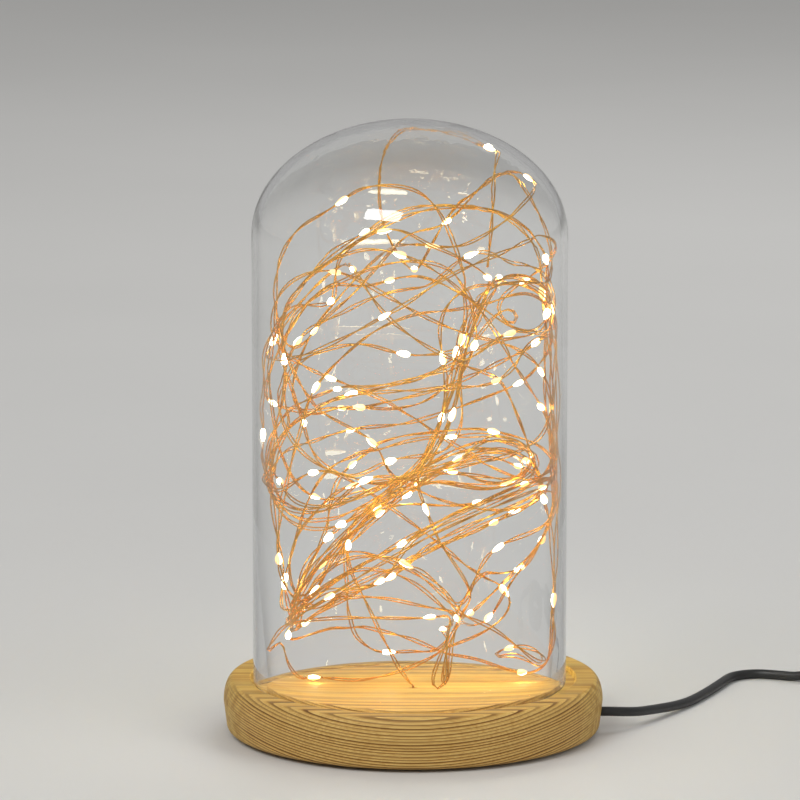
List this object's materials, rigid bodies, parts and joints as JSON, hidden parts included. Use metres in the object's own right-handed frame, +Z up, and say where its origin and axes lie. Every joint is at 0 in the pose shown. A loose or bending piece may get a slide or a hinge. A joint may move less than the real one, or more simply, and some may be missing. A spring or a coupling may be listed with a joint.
{
  "type": "led table lamp",
  "caption": "Glass dome lamp: warm LED string lights on copper wire nested under a lift-off glass dome, seated in a grooved turned wood base, with a USB cord and in-line rocker switch.",
  "frame": {"origin": "centre of the base on the table, level with the undersides of the four foot pads", "axes": "+Z up, the cord leaves the base along +X, -Y faces the viewer of the picture"},
  "size_m": [0.3241, 0.1616, 0.2359],
  "materials": {
    "clear_glass": "clear blown glass, polished rim",
    "pine": "turned pale pine with amber grain, satin",
    "cover_board": "plain fibreboard",
    "foot_rubber": "matt rubber",
    "board_green": "glass-fibre board with solder mask",
    "resistor_beige": "lacquered resistor body",
    "zinc_steel": "zinc-plated steel",
    "contact_brass": "stamped brass",
    "copper_wire": "enamelled copper wire",
    "led_lens": "clear resin drop round a warm white LED",
    "black_pvc": "satin PVC jacket",
    "black_plastic": "moulded plastic, fine texture",
    "red_core": "PVC insulated core",
    "white_plastic": "moulded nylon"
  },
  "bodies": {
    "lamp_base": {"wood_base": "pine", "bottom_cover": "cover_board", "circuit_board": "board_green", "ballast_resistor": "resistor_beige", "cord_clamp": "zinc_steel", "cord_tail": "black_pvc", "core_red": "red_core", "core_black": "black_pvc", "led_string": "copper_wire", "power_cord_run_1": "black_pvc", "power_cord_run_2": "black_pvc", "power_cord_coil": "black_pvc", "power_cord_run_3": "black_pvc", "switch_lower_shell": "black_plastic", "switch_upper_shell": "black_plastic", "usb_overmould": "black_plastic", "usb_shell": "zinc_steel", "usb_tongue": "white_plastic", "cover_screw_1": "zinc_steel", "cover_screw_2": "zinc_steel", "cover_screw_3": "zinc_steel", "foot_pad_1": "foot_rubber", "usb_contact_1": "contact_brass", "foot_pad_2": "foot_rubber", "usb_contact_2": "contact_brass", "foot_pad_3": "foot_rubber", "usb_contact_3": "contact_brass", "foot_pad_4": "foot_rubber", "usb_contact_4": "contact_brass", "board_spacer_1": "white_plastic", "board_screw_1": "zinc_steel", "clamp_screw_1": "zinc_steel", "switch_contact_1": "contact_brass", "switch_screw_1": "zinc_steel", "board_spacer_2": "white_plastic", "board_screw_2": "zinc_steel", "clamp_screw_2": "zinc_steel", "switch_contact_2": "contact_brass", "switch_screw_2": "zinc_steel"},
    "dome": {"glass_dome": "clear_glass"},
    "rocker": {"switch_rocker": "black_plastic"}
  },
  "joints": [
    {"name": "dome_lift", "type": "slide", "parent": "lamp_base", "child": "dome", "axis": [0, 0, 1], "range_m": [0, 0.218]},
    {"name": "rocker_tilt", "type": "hinge", "parent": "lamp_base", "child": "rocker", "pos_m": [0.193, 0.0707, 0.0087], "axis": [0.2588, 0.9659, 0], "range_deg": [0, 14]}
  ]
}
